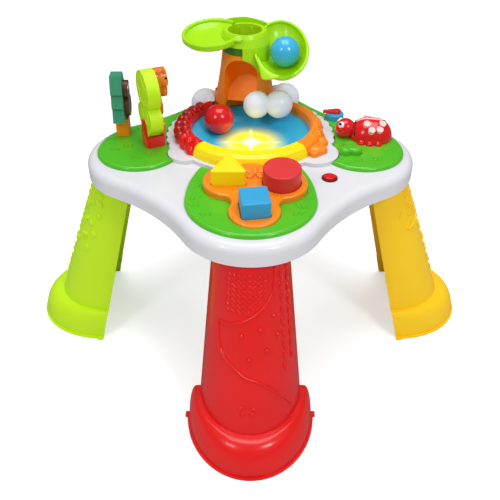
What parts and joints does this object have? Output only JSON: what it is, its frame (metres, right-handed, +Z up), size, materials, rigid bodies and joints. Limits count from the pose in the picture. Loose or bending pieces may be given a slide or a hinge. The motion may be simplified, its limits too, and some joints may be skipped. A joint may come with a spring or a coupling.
{
  "type": "musical activity table",
  "caption": "Child's musical activity table on splayed legs, with a ball tower over a ringed bowl, a shape sorter, spinning trees, a ladybird with keys, a piano and buttons.",
  "frame": {"origin": "on the floor under the middle of the table", "axes": "+Z up, -Y the front where the shape blocks are, +X the child's right"},
  "size_m": [0.7462, 0.7462, 0.4626],
  "materials": {
    "white_plastic": "satin",
    "white_matt": "matt",
    "red_plastic": "satin",
    "lime_plastic": "satin",
    "yellow_plastic": "satin",
    "blue_plastic": "satin",
    "green_plastic": "satin",
    "orange_plastic": "satin",
    "sky_plastic": "satin",
    "dark_green_plastic": "satin",
    "red_gloss": "gloss",
    "blue_gloss": "gloss",
    "pine_plastic": "satin",
    "brown_plastic": "satin",
    "steel": "satin",
    "eye_plastic": "gloss",
    "pale_plastic": "satin",
    "black_plastic": "matt",
    "board_green": "satin",
    "cell_metal": "satin"
  },
  "bodies": {
    "table": {"tabletop_shell": "white_plastic", "base_cover": "white_matt", "leg_front": "red_plastic", "leg_left": "lime_plastic", "leg_right": "yellow_plastic", "leg_back": "blue_plastic", "front_island": "green_plastic", "meadow_plate": "green_plastic", "sorter_plate": "orange_plastic", "bowl": "sky_plastic", "cloud_skirt": "white_plastic", "ring_red": "red_plastic", "ring_yellow": "yellow_plastic", "ring_orange": "orange_plastic", "cloud_front": "white_plastic", "cloud_left": "white_plastic", "cloud_right": "white_plastic", "trunk": "orange_plastic", "canopy_collar": "dark_green_plastic", "canopy": "lime_plastic", "tree_spindles": "steel", "ladybird_shell": "red_gloss", "ladybird_head": "red_gloss", "ladybird_eyes": "eye_plastic", "ladybird_spots": "pale_plastic", "power_bezel": "white_plastic", "selector_dial": "sky_plastic", "selector_pin": "white_plastic", "piano_frame": "white_plastic", "speaker": "black_plastic", "main_board": "board_green", "led_board": "board_green", "battery_box": "black_plastic", "batteries": "cell_metal", "base_screws": "steel"},
    "cylinder_block": {"block_cylinder": "red_plastic"},
    "triangle_block": {"block_triangle": "yellow_plastic"},
    "cube_block": {"block_cube": "sky_plastic"},
    "red_ball": {"ball_red": "red_gloss"},
    "blue_ball": {"ball_blue": "blue_gloss"},
    "pine_tree": {"pine_crown": "pine_plastic", "pine_trunk": "orange_plastic", "pine_owl": "brown_plastic"},
    "oak_tree": {"oak_crown": "lime_plastic", "oak_trunk": "red_plastic", "oak_squirrel": "orange_plastic"},
    "bug_key_1": {"ladybird_key_1": "pale_plastic"},
    "bug_key_2": {"ladybird_key_2": "pale_plastic"},
    "bug_key_3": {"ladybird_key_3": "pale_plastic"},
    "bug_key_4": {"ladybird_key_4": "pale_plastic"},
    "bush": {"bush_button": "green_plastic"},
    "power": {"power_button": "red_plastic"},
    "lever": {"selector_lever": "red_plastic"},
    "key_red": {"piano_key_red": "red_plastic"},
    "key_orange": {"piano_key_orange": "orange_plastic"},
    "key_yellow": {"piano_key_yellow": "yellow_plastic"},
    "key_green": {"piano_key_green": "lime_plastic"},
    "key_blue": {"piano_key_blue": "sky_plastic"},
    "hatch": {"battery_door": "white_matt", "battery_door_screw": "steel"}
  },
  "joints": [
    {"name": "cylinder_lift", "type": "slide", "parent": "table", "child": "cylinder_block", "axis": [0, -0.0872, 0.9962], "range_m": [0, 0.05]},
    {"name": "triangle_lift", "type": "slide", "parent": "table", "child": "triangle_block", "axis": [0, -0.0872, 0.9962], "range_m": [0, 0.05]},
    {"name": "cube_lift", "type": "slide", "parent": "table", "child": "cube_block", "axis": [0, -0.0872, 0.9962], "range_m": [0, 0.05]},
    {"name": "red_ball_lift", "type": "slide", "parent": "table", "child": "red_ball", "axis": [0, 0, 1], "range_m": [0, 0.06]},
    {"name": "blue_ball_lift", "type": "slide", "parent": "table", "child": "blue_ball", "axis": [0, 0, 1], "range_m": [0, 0.06]},
    {"name": "pine_spin", "type": "hinge", "parent": "table", "child": "pine_tree", "pos_m": [-0.203, 0.047, 0.321], "axis": [0, 0, 1], "continuous": true},
    {"name": "oak_spin", "type": "hinge", "parent": "table", "child": "oak_tree", "pos_m": [-0.149, 0.012, 0.321], "axis": [0, 0, 1], "continuous": true},
    {"name": "bug_key_1_press", "type": "slide", "parent": "table", "child": "bug_key_1", "axis": [-0.0998, 0.429, -0.8978], "range_m": [0, 0.0015], "stiffness_N_per_m": 200, "springref_m": -0.001},
    {"name": "bug_key_2_press", "type": "slide", "parent": "table", "child": "bug_key_2", "axis": [-0.0998, 0.429, -0.8978], "range_m": [0, 0.0015], "stiffness_N_per_m": 200, "springref_m": -0.001},
    {"name": "bug_key_3_press", "type": "slide", "parent": "table", "child": "bug_key_3", "axis": [-0.0998, 0.429, -0.8978], "range_m": [0, 0.0015], "stiffness_N_per_m": 200, "springref_m": -0.001},
    {"name": "bug_key_4_press", "type": "slide", "parent": "table", "child": "bug_key_4", "axis": [-0.0998, 0.429, -0.8978], "range_m": [0, 0.0015], "stiffness_N_per_m": 200, "springref_m": -0.001},
    {"name": "bush_press", "type": "slide", "parent": "table", "child": "bush", "axis": [0, 0, -1], "range_m": [0, 0.0015], "stiffness_N_per_m": 200, "springref_m": -0.001},
    {"name": "power_press", "type": "slide", "parent": "table", "child": "power", "axis": [0, 0, -1], "range_m": [0, 0.0015], "stiffness_N_per_m": 200, "springref_m": -0.001},
    {"name": "key_red_press", "type": "slide", "parent": "table", "child": "key_red", "axis": [0, 0, -1], "range_m": [0, 0.0015], "stiffness_N_per_m": 200, "springref_m": -0.001},
    {"name": "key_orange_press", "type": "slide", "parent": "table", "child": "key_orange", "axis": [0, 0, -1], "range_m": [0, 0.0015], "stiffness_N_per_m": 200, "springref_m": -0.001},
    {"name": "key_yellow_press", "type": "slide", "parent": "table", "child": "key_yellow", "axis": [0, 0, -1], "range_m": [0, 0.0015], "stiffness_N_per_m": 200, "springref_m": -0.001},
    {"name": "key_green_press", "type": "slide", "parent": "table", "child": "key_green", "axis": [0, 0, -1], "range_m": [0, 0.0015], "stiffness_N_per_m": 200, "springref_m": -0.001},
    {"name": "key_blue_press", "type": "slide", "parent": "table", "child": "key_blue", "axis": [0, 0, -1], "range_m": [0, 0.0015], "stiffness_N_per_m": 200, "springref_m": -0.001},
    {"name": "lever_turn", "type": "hinge", "parent": "table", "child": "lever", "pos_m": [0.1415, 0.1055, 0.33], "axis": [0, 0, 1], "range_deg": [-25, 25]},
    {"name": "hatch_open", "type": "hinge", "parent": "table", "child": "hatch", "pos_m": [-0.1307, -0.055, 0.286], "axis": [0, 1, 0], "range_deg": [0, 100]}
  ]
}
